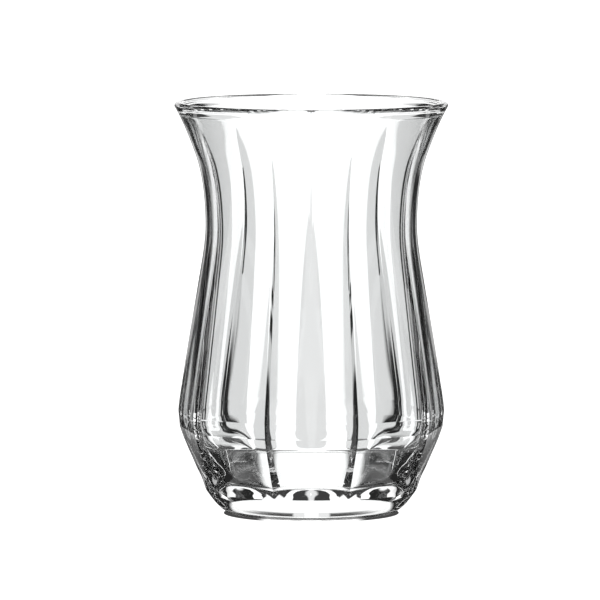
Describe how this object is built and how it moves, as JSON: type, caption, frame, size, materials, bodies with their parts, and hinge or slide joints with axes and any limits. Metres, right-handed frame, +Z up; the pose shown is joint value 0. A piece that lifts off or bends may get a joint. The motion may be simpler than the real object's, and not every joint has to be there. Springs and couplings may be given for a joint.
{
  "type": "empty faceted turkish tea glass",
  "caption": "Empty clear tea glass with upright flat facets, a slim waist, a flared round rim and a thick solid foot.",
  "frame": {"origin": "centre of the plane that the foot ring stands on, on the axis of the glass", "axes": "+Z up along the axis of the glass; a facet faces -Y, so that an upright ridge lies towards +Y"},
  "size_m": [0.0592, 0.0591, 0.0892],
  "materials": {
    "tea_glass": "clear, polished, colourless"
  },
  "bodies": {
    "root": {"tea_glass": "tea_glass"}
  },
  "joints": []
}
